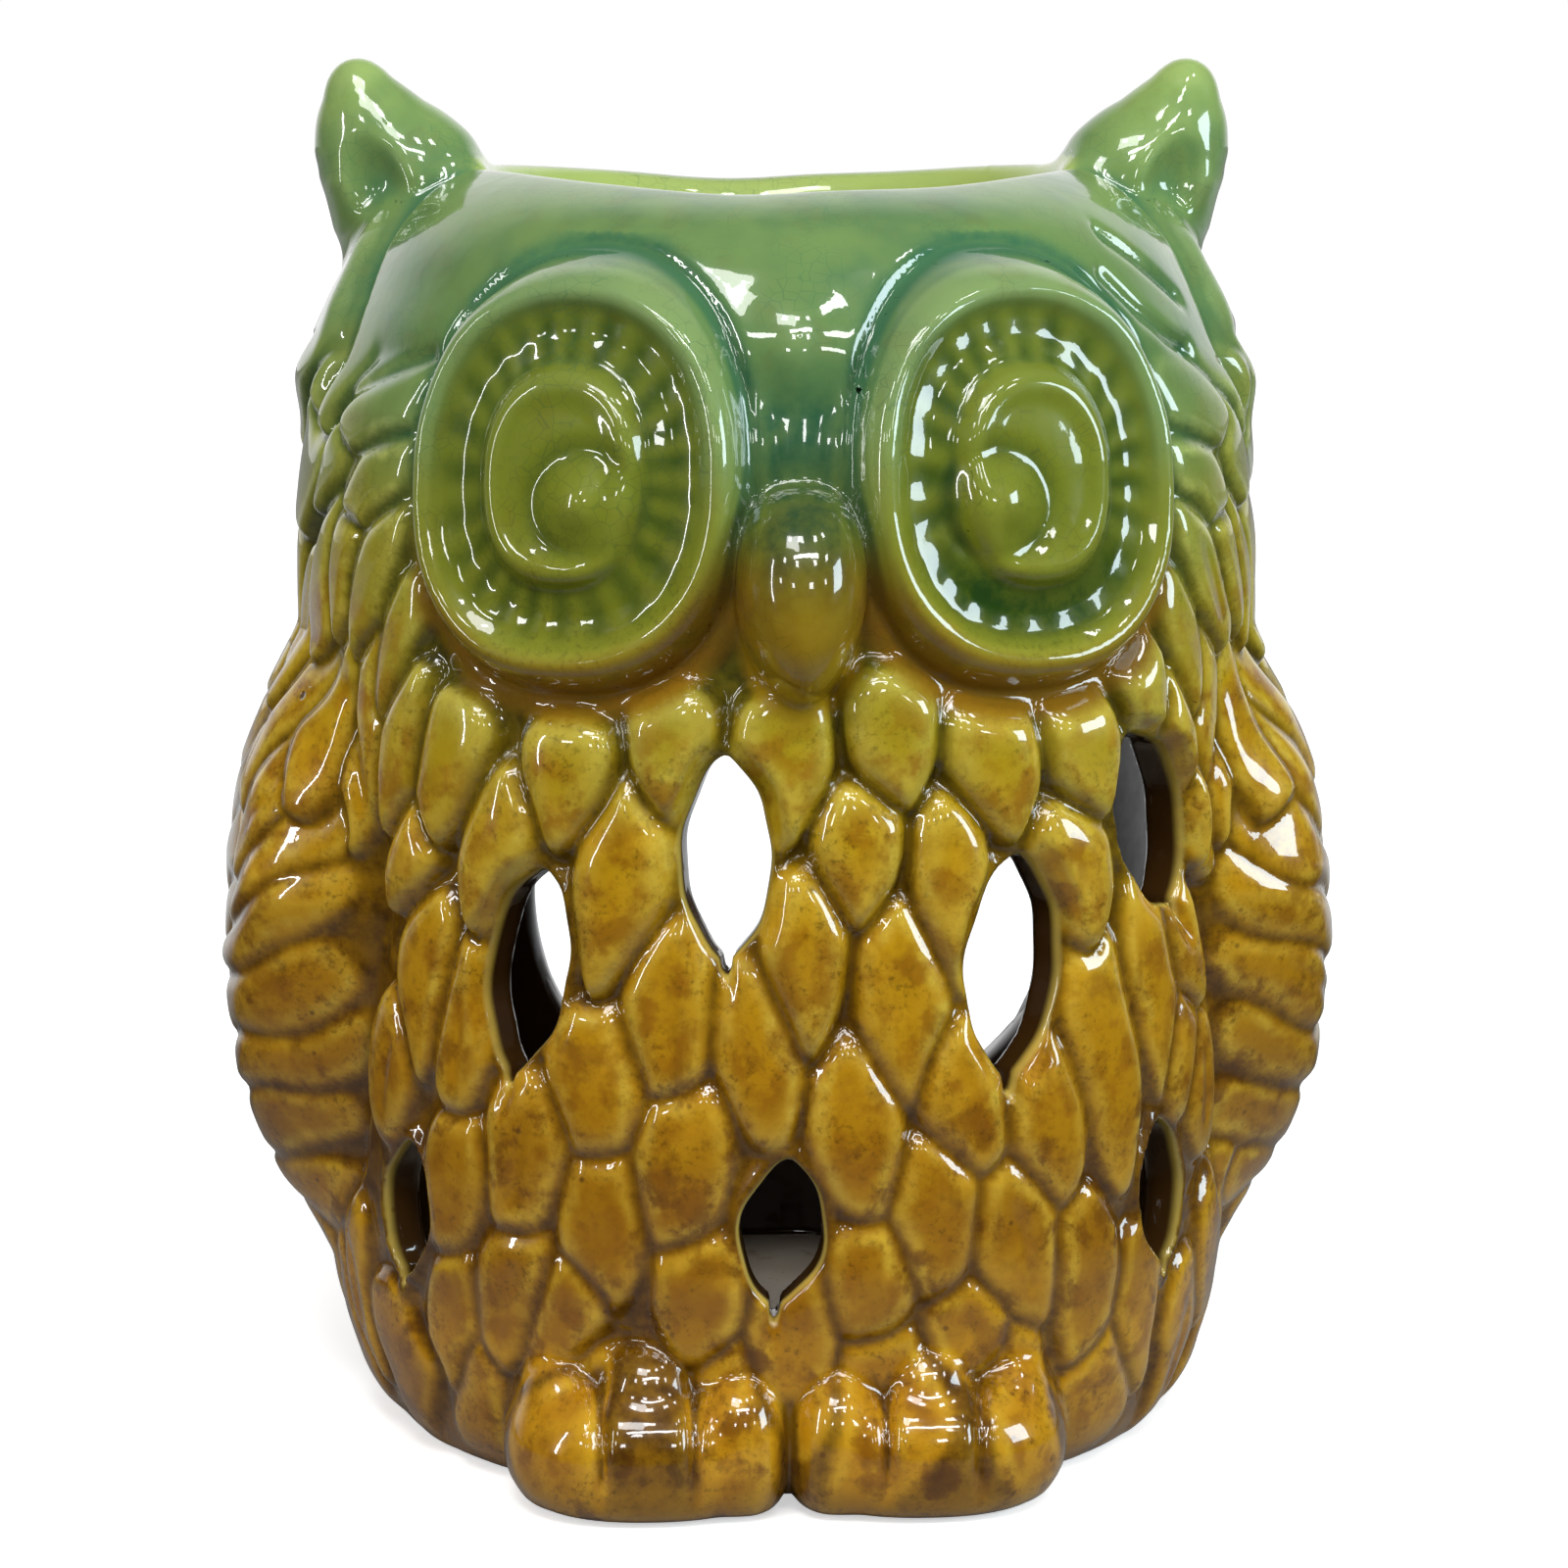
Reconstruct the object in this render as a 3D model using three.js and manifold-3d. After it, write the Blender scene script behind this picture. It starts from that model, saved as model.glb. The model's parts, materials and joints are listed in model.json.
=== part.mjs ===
// Ceramic owl oil burner: a hollow pierced owl that holds a tea light, with a dished bowl in its crown.
// Millimetres, +Z up. The owl stands on z = 0 and looks along -Y, so its own left is +X.
// Every piece is one of the formed sections of the casting, with a thin joint to its neighbours.
import * as THREE from "three";
import { mergeVertices } from "three/addons/utils/BufferGeometryUtils.js";
import Module from "manifold-3d";

const wasm = await Module();
wasm.setup();

// ---- Driving dimensions ----
const JOINT = 0.3; // gap between neighbouring pieces
const WALL = 4.8; // thickness of the chamber and head walls
const FLOOR = 5; // thickness of the base
const NECK = 79; // height of the joint between body and head
const RIM = 129.5; // height of the crown's rim at the front and back
const RIM_SADDLE = 2.2; // how much higher the rim runs at the ears
const BOWL_MOUTH = 31.5; // half-width of the hole that the bowl hangs in
const BOWL_DEPTH = 17; // depth of the dish under the rim
const DEPTH_RATIO = 0.96; // depth of the owl over its width
const SQUARENESS = 2.2; // 2 is an ellipse, more is squarer
const FACETS = 48; // round the body
const BACK_RADIUS = 30.5; // round opening for the tea light
const BACK_HEIGHT = 45; // height of that opening's centre

// Outer outline of the owl, half-width and height, from the base's edge to the rim.
const OUTLINE = [
  [41.5, 0],
  [44.9, 4],
  [47.6, 12.6],
  [49.4, 24],
  [49.8, 45],
  [49.8, 79],
  [50.2, 94],
  [49.2, 106],
  [46.6, 116],
  [42, 124],
  [36.5, 129],
];

// Pierced leaf-shaped windows: bearing from the front (+ towards the owl's left), centre height,
// width, length and how far the top leans towards the owl's right.
const WINDOWS = [
  { bearing: -7.5, height: 66.8, width: 8.9, length: 19.6, lean: 0 },
  { bearing: -29.6, height: 54.4, width: 8.9, length: 21, lean: -8 },
  { bearing: 24.6, height: 55.2, width: 10, length: 22, lean: -2 },
  { bearing: 44.2, height: 67.7, width: 8, length: 20, lean: 24 },
  { bearing: -0.9, height: 29.4, width: 8.2, length: 14.8, lean: -7 },
  { bearing: -50.4, height: 27.8, width: 7.8, length: 14.6, lean: -12 },
  { bearing: 48.4, height: 29, width: 7, length: 15.6, lean: 11 },
];

const EYE = { bearing: 26, height: 103, halfWidth: 17.8, halfHeight: 20.8, proud: 5, wrap: 0.008 };
const PUPIL = { radius: 3.9, inwards: 2.6, down: 1.4 };
const BEAK = { height: 92, halfWidth: 5.5, halfHeight: 10.8, reach: 56 };
const EAR = { side: 38.5, depth: 2, base: 122, length: 21, splay: 14 };
const WING = { top: 76, bottom: 29, bands: 7, reach: 59.2, middle: 50, depth: 5 };
const FOOT = { toes: [5.2, 15, 24], toeWidth: 10, tops: [16, 18.4, 15.4], front: 52, heel: 36 };

// ---- Shaping and joining ----
// A closed geometry as a solid that can be cut and joined.
function solidOf(geometry) {
  const bare = geometry.clone();
  bare.deleteAttribute("normal");
  bare.deleteAttribute("uv");
  const merged = mergeVertices(bare, 1e-4);
  const vertProperties = merged.attributes.position.array;
  const triVerts = new Uint32Array(merged.index.array);
  return new wasm.Manifold(new wasm.Mesh({ numProp: 3, vertProperties, triVerts }));
}

function moved(geometry, change) {
  const position = geometry.attributes.position;
  const point = new THREE.Vector3();
  for (let i = 0; i < position.count; i++) {
    point.fromBufferAttribute(position, i);
    change(point);
    position.setXYZ(i, point.x, point.y, point.z);
  }
  return geometry;
}

// A half-outline of [radius, height] points turned about +Z.
function turned(points, facets = FACETS) {
  const outline = points.map(([radius, height]) => new THREE.Vector2(radius, height));
  return new THREE.LatheGeometry(outline, facets).rotateX(Math.PI / 2);
}

// Turns a round section into the owl's squarer, slightly shallower one, and lifts the rim at the sides.
function toOwlSection(geometry) {
  return moved(geometry, (p) => {
    const radius = Math.hypot(p.x, p.y);
    if (radius === 0) return;
    const across = Math.abs(p.x / radius);
    const along = Math.abs(p.y / radius);
    const swell = (across ** SQUARENESS + along ** SQUARENESS) ** (-1 / SQUARENESS);
    const nearRim = THREE.MathUtils.smoothstep(p.z, RIM - 25, RIM);
    p.x *= swell;
    p.y *= swell * DEPTH_RATIO;
    p.z += RIM_SADDLE * nearRim * across ** 2;
  });
}

const curve = new THREE.SplineCurve(OUTLINE.map(([x, z]) => new THREE.Vector2(x, z)));
const outerPoints = curve.getPoints(15).map((point) => [point.x, point.y]);

function halfWidthAt(height) {
  const above = outerPoints.findIndex(([, z]) => z >= height);
  if (above <= 0) return outerPoints[0][0];
  const [x0, z0] = outerPoints[above - 1];
  const [x1, z1] = outerPoints[above];
  return THREE.MathUtils.lerp(x0, x1, (height - z0) / (z1 - z0));
}

// Outline points between two heights, set in by an inset.
function stretch(low, high, inset = 0) {
  const between = outerPoints.filter(([, z]) => z > low + 1 && z < high - 1);
  const all = [[halfWidthAt(low), low], ...between, [halfWidthAt(high), high]];
  return all.map(([x, z]) => [x - inset, z]);
}

// The whole owl without a hollow, grown by the joint, for trimming what sits on its surface.
function trimmingBlock() {
  const grown = stretch(0, OUTLINE.at(-1)[1], -JOINT);
  const under = -1;
  const over = RIM + 2 * JOINT;
  grown[0][1] = under;
  return solidOf(toOwlSection(turned([[0, under], ...grown, [OUTLINE.at(-1)[0] - 1, over], [0, over]])));
}

// Where a bearing and a height meet the outer surface.
function surfacePoint(bearing, height) {
  const angle = THREE.MathUtils.degToRad(bearing);
  const point = new THREE.Vector3(Math.sin(angle), -Math.cos(angle) * DEPTH_RATIO, 0);
  const across = Math.abs(point.x);
  const along = Math.abs(point.y / DEPTH_RATIO);
  const swell = (across ** SQUARENESS + along ** SQUARENESS) ** (-1 / SQUARENESS);
  return point.multiplyScalar(halfWidthAt(height) * swell).setZ(height);
}

// ---- The hollow body, head and base ----
function leafCutter({ bearing, height, width, length, lean }) {
  const reach = WALL * 5;
  const leaf = new THREE.Shape();
  leaf.moveTo(0, -length / 2);
  leaf.quadraticCurveTo(width, 0, 0, length / 2);
  leaf.quadraticCurveTo(-width, 0, 0, -length / 2);
  const cutter = new THREE.ExtrudeGeometry(leaf, { depth: reach, bevelEnabled: false, curveSegments: 5 });
  const middle = surfacePoint(bearing, height);
  cutter.translate(0, 0, -reach / 2);
  cutter.rotateZ(THREE.MathUtils.degToRad(lean));
  cutter.rotateX(Math.PI / 2);
  cutter.rotateZ(THREE.MathUtils.degToRad(bearing));
  cutter.translate(middle.x, middle.y, middle.z);
  return solidOf(cutter);
}

function backCutter() {
  const reach = 40;
  const cutter = new THREE.CylinderGeometry(BACK_RADIUS, BACK_RADIUS, reach, 32);
  cutter.translate(0, reach / 2 + BACK_RADIUS / 2, BACK_HEIGHT);
  return solidOf(cutter);
}

function bodyShell() {
  const low = FLOOR + JOINT;
  const outside = stretch(low, NECK);
  const inside = stretch(low, NECK, WALL).reverse();
  let shell = solidOf(toOwlSection(turned([...outside, ...inside, outside[0]])));
  for (const window of WINDOWS) shell = shell.subtract(leafCutter(window));
  return shell.subtract(backCutter());
}

function headShell() {
  const low = NECK + JOINT;
  const lip = OUTLINE.at(-1);
  const ceiling = RIM - BOWL_DEPTH - 3;
  const outside = stretch(low, lip[1]);
  const crown = [
    [lip[0] - 2.5, RIM],
    [BOWL_MOUTH, RIM - 0.6],
    [BOWL_MOUTH, RIM - 6],
  ];
  const inside = stretch(low, ceiling, WALL).reverse();
  return solidOf(toOwlSection(turned([...outside, ...crown, ...inside, outside[0]])));
}

// The dish hangs in the crown; its underside is a wall's thickness below its inside.
function oilBowl() {
  const mouth = BOWL_MOUTH - JOINT;
  const brim = 2.2;
  const top = RIM - 0.8;
  const shape = [0.25, 0.5, 0.72, 0.88, 0.97];
  const depthAt = (part) => Math.sqrt(1 - part * part);
  const inner = mouth - brim;
  const inside = shape.map((part) => [part * inner, top - BOWL_DEPTH * depthAt(part)]).reverse();
  const outside = shape.map((part) => [part * mouth, top - 2 - (BOWL_DEPTH + 2) * depthAt(part)]);
  const bottom = [[0, top - BOWL_DEPTH - 4], ...outside, [mouth, top - 4]];
  const brimAndInside = [[mouth, top], [inner, top], ...inside, [0, top - BOWL_DEPTH]];
  return solidOf(toOwlSection(turned([...bottom, ...brimAndInside])));
}

function basePlate() {
  const edge = stretch(0, FLOOR);
  return solidOf(toOwlSection(turned([[0, 0], ...edge, [0, FLOOR]])));
}

// ---- Pieces on the surface; side is 1 for the owl's left and -1 for its right ----
const owl = trimmingBlock();

function slab(low, high) {
  const height = high - low;
  return solidOf(new THREE.BoxGeometry(400, 400, height).translate(0, 0, low + height / 2));
}

function ellipsoid(x, y, z, columns = 16, rows = 10) {
  return new THREE.SphereGeometry(1, columns, rows).scale(x, y, z);
}

// Stands a piece that was made facing +Z on the face, looking out at an eye's bearing.
function onEyeSocket(geometry, side) {
  const seat = surfacePoint(EYE.bearing * side, EYE.height);
  geometry.rotateX(Math.PI / 2);
  geometry.rotateZ(THREE.MathUtils.degToRad(EYE.bearing * side));
  return geometry.translate(seat.x, seat.y, seat.z);
}

function pupil(side, grown = 0) {
  const radius = PUPIL.radius + grown;
  const top = EYE.proud + 0.8 + grown;
  const foot = EYE.proud - 4 - grown;
  const boss = turned([[0, foot], [radius, foot], [radius, top - 2], [radius * 0.7, top - 0.6], [0, top]], 20);
  boss.translate(-PUPIL.inwards * side, -PUPIL.down, 0);
  return solidOf(onEyeSocket(boss, side));
}

function beak(grown = 0) {
  const depth = BEAK.reach - halfWidthAt(BEAK.height) * DEPTH_RATIO + 6;
  const drop = moved(ellipsoid(1, 1, 1, 16, 14), (p) => {
    const taper = 1 - 0.28 * Math.max(0, -p.z);
    p.x *= taper * (BEAK.halfWidth + grown);
    p.y *= taper * (depth + grown);
    p.z *= BEAK.halfHeight + grown;
  });
  return solidOf(drop.translate(0, -BEAK.reach + depth, BEAK.height));
}

// A domed ring with a sunk, flat-bottomed channel round a raised disc.
function eye(side) {
  const width = EYE.halfWidth;
  const top = EYE.proud;
  const outline = [
    [0, -9],
    [width - 1, -9],
    [width, -3],
    [width - 0.6, top - 2.6],
    [width - 2.6, top],
    [width - 4.2, top - 0.4],
    [width - 5.4, top - 2.6],
    [8.6, top - 2.8],
    [7.8, top - 1.4],
    [0, top - 1],
  ];
  const ring = moved(turned(outline, 32), (p) => {
    p.y *= EYE.halfHeight / width;
    p.z -= EYE.wrap * (p.x ** 2 + Math.max(0, p.y) ** 2);
  });
  const placed = solidOf(onEyeSocket(ring, side));
  return placed.subtract(owl).subtract(beak(JOINT)).subtract(pupil(side, JOINT));
}

function ear(side) {
  const { length } = EAR;
  const outline = [
    [0, -6],
    [9.5, -6],
    [9.3, length * 0.2],
    [8.2, length * 0.45],
    [5.6, length * 0.75],
    [2.8, length * 0.94],
    [0, length],
  ];
  const horn = turned(outline, 20).scale(1, 0.7, 1);
  horn.rotateY(THREE.MathUtils.degToRad(EAR.splay * side));
  horn.translate(EAR.side * side, EAR.depth, EAR.base);
  return solidOf(horn).subtract(owl);
}

// Overlapping feather bands down the flank.
function wing(side) {
  const step = (WING.top - WING.bottom) / (WING.bands - 1);
  let bands = null;
  for (let i = 0; i < WING.bands; i++) {
    const height = WING.bottom + i * step;
    const taper = (height - WING.middle) ** 2;
    const outermost = WING.reach - 0.008 * taper;
    const band = ellipsoid(12, 25 - 0.013 * taper, step * 0.85, 16, 8);
    band.rotateX(THREE.MathUtils.degToRad(-12));
    band.translate((outermost - 12) * side, WING.depth, height);
    bands = bands ? bands.add(solidOf(band)) : solidOf(band);
  }
  return bands.subtract(owl);
}

function foot(side) {
  const middle = (FOOT.front + FOOT.heel) / 2;
  let toes = null;
  FOOT.toes.forEach((across, i) => {
    const toe = ellipsoid(FOOT.toeWidth * 0.56, (FOOT.front - FOOT.heel) / 2 + 1, FOOT.tops[i] - 3, 16, 12);
    toe.translate(across * side, -middle + i, 3);
    toes = toes ? toes.add(solidOf(toe)) : solidOf(toe);
  });
  const half = solidOf(new THREE.BoxGeometry(100, 100, 100).translate((50 + JOINT / 2) * side, -50, 50));
  return toes.intersect(half).subtract(owl);
}

// ---- Glazes ----
const glaze = (color) => new THREE.MeshStandardMaterial({ color, roughness: 0.12, metalness: 0 });
const green = glaze(0x6f9a67);
const olive = glaze(0x8d9440);
const amber = glaze(0xa9792a);
const bisque = new THREE.MeshStandardMaterial({ color: 0xd9cdb4, roughness: 0.85, metalness: 0 });

const group = new THREE.Group();

function addPiece(name, piece, material) {
  const { vertProperties, triVerts } = piece.getMesh();
  const geometry = new THREE.BufferGeometry();
  geometry.setAttribute("position", new THREE.BufferAttribute(vertProperties, 3));
  geometry.setIndex(new THREE.BufferAttribute(triVerts, 1));
  geometry.computeVertexNormals();
  const mesh = new THREE.Mesh(geometry, material);
  mesh.name = name;
  group.add(mesh);
}

addPiece("base_plate", basePlate(), bisque);
addPiece("body_shell", bodyShell(), amber);
addPiece("head_shell", headShell(), green);
addPiece("oil_bowl", oilBowl(), green);
addPiece("beak", beak().subtract(owl), olive);
for (const [name, side] of [["left", 1], ["right", -1]]) {
  addPiece(`${name}_ear`, ear(side), green);
  addPiece(`${name}_eye`, eye(side), olive);
  addPiece(`${name}_pupil`, pupil(side), olive);
  addPiece(`${name}_wing`, wing(side), amber);
  addPiece(`${name}_foot`, foot(side), amber);
}

export default group;
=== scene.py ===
"""A glazed ceramic owl oil burner: one signed-distance field, split into the sections it is formed from.

The field is built in millimetres in the CAD frame: a squarish turned body, a relief map of feathers and
eyes wrapped round it, and the beak, ears and feet pressed on. Surface nets turn it into one closed mesh
for each section, and neighbouring sections share their border so that the glaze runs on without a seam.
"""

import json
import math

import bpy
import numpy as np
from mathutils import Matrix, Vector


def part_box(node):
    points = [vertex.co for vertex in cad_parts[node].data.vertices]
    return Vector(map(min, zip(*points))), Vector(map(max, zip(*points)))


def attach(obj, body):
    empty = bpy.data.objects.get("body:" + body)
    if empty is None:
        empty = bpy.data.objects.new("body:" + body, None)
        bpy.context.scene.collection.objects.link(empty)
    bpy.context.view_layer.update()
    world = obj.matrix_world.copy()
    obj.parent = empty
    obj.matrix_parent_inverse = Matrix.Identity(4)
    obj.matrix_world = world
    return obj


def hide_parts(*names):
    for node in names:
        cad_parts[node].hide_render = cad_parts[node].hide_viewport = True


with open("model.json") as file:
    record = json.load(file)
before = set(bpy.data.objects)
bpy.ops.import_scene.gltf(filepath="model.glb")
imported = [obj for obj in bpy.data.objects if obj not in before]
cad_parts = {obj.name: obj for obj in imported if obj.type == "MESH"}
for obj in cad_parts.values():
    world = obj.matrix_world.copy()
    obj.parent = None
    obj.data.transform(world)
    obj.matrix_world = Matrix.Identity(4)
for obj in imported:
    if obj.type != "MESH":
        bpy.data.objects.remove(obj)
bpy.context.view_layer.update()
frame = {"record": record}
MM = 0.001


# ---- Sizes, in millimetres and degrees ----
def box_mm(node):
    low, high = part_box(node)
    return np.array(low) / MM, np.array(high) / MM


HEAD_LOW, HEAD_HIGH = box_mm("head_shell")
DEPTH_RATIO = (HEAD_HIGH[1] - HEAD_LOW[1]) / (HEAD_HIGH[0] - HEAD_LOW[0])
FLOOR = box_mm("base_plate")[1][2]  # top of the bottom plate
NECK = box_mm("body_shell")[1][2]
RIM = 129.5  # height of the crown in the middle; it rises to the ears
RIM_SADDLE = HEAD_HIGH[2] - RIM
WALL = 4.8
SQUARENESS = 2.2  # power of the section's rounded square
ARC = 0.887  # arc for one degree of bearing

# Outer outline: height, half-width.
OUTLINE = np.array([
    (-3, 40.5), (0, 41.6), (1.5, 43.4), (4, 44.9), (12.6, 47.6), (24, 49.4), (45, 49.8), (79, 49.8),
    (94, 50.2), (106, 49.2), (116, 46.6), (124, 42), (129, 36.5), (134, 30), (140, 22),
])

# Pierced windows: bearing, height, width, length, lean of the top towards the owl's right.
WINDOWS = (
    (-8.2, 66.6, 8.9, 20, 0),
    (-31.2, 54.6, 8.7, 21, -11),
    (24.4, 55.2, 10, 22, -2),
    (44.8, 67.7, 11, 20, 24),
    (-2, 29.4, 8.4, 14.8, -6),
    (-51.4, 27.8, 8, 14.6, -12),
    (48.8, 29, 8.2, 15.6, 11),
)
# The round opening at the back.
BACK_RADIUS = 30
BACK_MIDDLE, BACK_HEIGHT = 4, 46.5
FOOT_SHIFT = 2  # the owl's left foot is set that much towards its right
EYE_BEARING, EYE_HEIGHT = 26, 103
EYE_HALF = (17.6, 20.5)
DISH = (29.6, 28.4, 17.5)  # half-axes of the oil bowl
DISH_WALL = 4.2
DISH_TOP = RIM + 0.6
CEILING = 121.5  # of the chamber, round the bowl

STEP = 0.5  # spacing of the field's grid
FAR = 9  # field value where a shape has nothing near
rng = np.random.default_rng(7)


# ---- Small tools ----
def smooth(low, high, value):
    t = np.clip((value - low) / (high - low), 0, 1)
    return t * t * (3 - 2 * t)


def join(a, b, blend):
    """Smooth union of two fields."""
    h = np.clip(0.5 + 0.5 * (b - a) / blend, 0, 1)
    return b + (a - b) * h - blend * h * (1 - h)


def carve(a, b, blend):
    """Field a with field b cut away, the edge rounded."""
    return -join(-a, b, blend)


def meet(a, b, blend):
    """What two fields share, the edge rounded."""
    return -join(-a, -b, blend)


def turn(bearing, middle):
    return (bearing - middle + 180) % 360 - 180


# ---- The relief map: what stands on the turned body, by bearing and height ----
MAP_STEP = 0.25
BEARINGS = np.arange(-180, 180, MAP_STEP)
HEIGHTS = np.arange(-4, 142, MAP_STEP)
B, Z = np.meshgrid(BEARINGS, HEIGHTS)


def local(bearing, height, middle, centre, lean):
    """Across and along distances in a leaf's own frame."""
    across, along = turn(bearing, middle) * ARC, height - centre
    c, s = math.cos(math.radians(lean)), math.sin(math.radians(lean))
    return across * c + along * s, along * c - across * s


def leaf_gauge(u, v, half_width, half_length, kind):
    """0 in the middle of a feather and 1 on its outline: a drop, a pointed leaf or a blunt lobe."""
    t = v / half_length
    if kind == WING:
        return ((np.abs(u) / half_width) ** 2.6 + np.abs(t) ** 2.6) ** (1 / 2.6)
    width = half_width * np.clip(1 + (0.32, 0.12, 0.2)[kind] * np.clip(t, -1.5, 1.2), 0.35, 2)
    power = (1.25, 1.6, 1.3)[kind] + (0.95, 0.25, 0.8)[kind] * smooth(-0.6, 0.6, t)
    across = (np.sqrt(u * u + 0.7) - 0.83) / width
    return (np.maximum(across, 0) ** power + np.abs(t) ** 2) ** (1 / power)


def eye_gauge(bearing, height, side):
    u = turn(bearing, side * EYE_BEARING) * ARC / EYE_HALF[0]
    v = (height - EYE_HEIGHT) / EYE_HALF[1]
    v = v * (1 - 0.12 * (1 - smooth(0.35, 0.9, np.hypot(u, v))))  # the disc is slimmer than the rim
    return (np.abs(u) ** 2.35 + np.abs(v) ** 2.35) ** (1 / 2.35)


BIB, LOWER, CHEEK, WING = range(4)
# Plump drops under the eyes: bearing, height, half-width, half-length, lean of the top.
BIB_FEATHERS = (
    (-49, 75, 3.3, 10.5, -16), (-41.4, 73.2, 4.5, 9.7, -19), (-34.4, 66.2, 4.3, 9.7, -20),
    (-25.9, 73.4, 4.7, 7.5, -5), (-19.8, 63.6, 4.5, 12.2, -12), (-14, 76.4, 4.3, 7.8, 0),
    (-2, 75.2, 4.6, 8.7, -2), (10.2, 78, 4.6, 7.9, 5), (21.7, 74.6, 4.7, 8.3, 16),
    (32.9, 75, 4.3, 7.6, 18), (6, 66.8, 4.2, 8.1, 2), (0.6, 56.4, 4.1, 10.4, 0),
    (16.8, 62.8, 3.8, 11, 5), (31.8, 63.6, 4.3, 9, 13), (42, 80.5, 3.4, 8.5, 20),
    (49, 74, 3.2, 10, 18), (-47.6, 64.5, 3.6, 7.2, -22), (53.5, 67, 3.2, 8, 24),
)
# Flatter leaves on the breast and belly, down to the feet.
BREAST_FEATHERS = (
    (-45.8, 51.6, 4.1, 10, -10), (-39.7, 48, 3.6, 9.6, -8), (-31.9, 35.8, 4.3, 8.8, -8),
    (-22.8, 43.8, 4.5, 8.2, 0), (-14.3, 51.6, 4.1, 9.4, -2), (-4.9, 47.6, 4.0, 9.9, 9),
    (-13.2, 35.5, 4.3, 8.8, -6), (-22.3, 29.4, 4.2, 8.6, -3), (-41.8, 32, 4.0, 8.2, -10),
    (-34.6, 20.8, 4.0, 9, -24), (-27.6, 19.4, 3.3, 8.4, -24), (-11.4, 22.6, 4.4, 7.2, -4),
    (-52.6, 42.5, 3.8, 8.6, -14), (-43.5, 17, 4.0, 8.6, -20), (11.3, 52.2, 4.1, 10.4, 3),
    (6.4, 39.4, 4.3, 9.3, 6), (18.7, 42.3, 4.0, 8.6, 12), (28.3, 39, 4.2, 9.7, 14),
    (37, 44.4, 4.2, 14.2, 12), (45, 50.5, 3.7, 12.5, 16), (52, 53.5, 3.3, 8.6, 26),
    (51, 43.5, 4.0, 7.5, 6), (15.4, 30.4, 4.3, 8.3, 3), (25.7, 27, 4.3, 9.6, 13),
    (35.2, 21.8, 4.1, 10, 10), (7.8, 23.8, 4.3, 6.6, 4), (20.5, 17.6, 4.0, 6.4, 26),
    (44.5, 17, 4.0, 9.5, 6), (56.5, 40, 3.6, 9, 8),
)
# Strands that fan out beside the eyes, on either side: bearing, height, half-width, half-length, lean.
SIDE_FEATHERS = (
    (57, 107.6, 3.8, 9.5, 68), (56.5, 100, 3.5, 9, 55), (66, 103, 3.4, 9, 48), (55, 91, 3.0, 10, 28),
    (61, 94, 3.2, 12, 20), (67.5, 90, 3.0, 12, 14), (69, 110, 3.8, 9, 50), (56.5, 76, 2.9, 12.5, 10),
    (63, 74, 2.8, 13, 5), (50.5, 84, 2.6, 9, 24),
)
# Where the wing starts at the front, and how far it stands out, by height.
WING_FRONT = ((20, 28, 38, 50, 58, 70, 84), (70, 66, 62, 58, 55, 57, 62))
WING_RISE = ((17, 22, 28, 37, 50, 60, 69, 76, 84), (0, 2.2, 5.2, 8.2, 9.3, 8.8, 7.2, 4.6, 0))
WING_BACK = 127

feathers = [(*row, BIB) for row in BIB_FEATHERS] + [(*row, LOWER) for row in BREAST_FEATHERS]
for side in (-1, 1):
    for bearing, height, half_width, half_length, lean in SIDE_FEATHERS:
        feathers.append((side * bearing, height, half_width, half_length, side * lean, CHEEK))


def wing_front(height):
    return np.interp(height, *WING_FRONT)


def in_wing(bearing, height):
    return wing_front(height) < abs(bearing) < WING_BACK and 20 < height < 82


def is_free(bearing, height):
    """No feather and no window is there yet."""
    for middle, centre, half_width, half_length, lean, kind in feathers:
        if leaf_gauge(*local(bearing, height, middle, centre, lean), half_width, half_length, kind) < 1:
            return False
    for middle, centre, width, length, lean in WINDOWS:
        u, v = local(bearing, height, middle, centre, lean)
        if math.hypot(u / (width / 2 + 1.5), v / (length / 2 + 1)) < 1:
            return False
    return True


def lay_wing(side):
    for column, (bearing, half_length) in enumerate(((71, 11.5), (89, 12), (106, 12), (120, 12))):
        for k in range(8):
            if column == 3 and k == 0:
                continue
            height = 25 + 7.3 * k - (3.6 if column % 2 else 0)
            follow = (wing_front(height) - 58) * 0.8 * (1 - column / 4)
            lean = side * (86 - 8 * k + rng.uniform(-4, 4))
            middle = side * (bearing + follow) + rng.uniform(-1.5, 1.5)
            feathers.append((middle, height + rng.uniform(-0.8, 0.8), 4.1, half_length, lean, WING))


def lay_body():
    columns = 44
    for column in range(columns):
        for k in range(6):
            bearing = turn(360 / columns * column + rng.uniform(-1.4, 1.4), 0)
            height = 18.5 * k + (9.25 if column % 2 else 0) + rng.uniform(-2.2, 2.2)
            placed = abs(bearing) < 60 and height > 22  # where the feathers came from the photo
            if not 3 < height < 78 or placed or in_wing(bearing, height):
                continue
            if is_free(bearing, height):
                half_width = rng.uniform(3.8, 4.5)
                feathers.append((bearing, height, half_width, 10.4, rng.uniform(-7, 7), LOWER))


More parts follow.
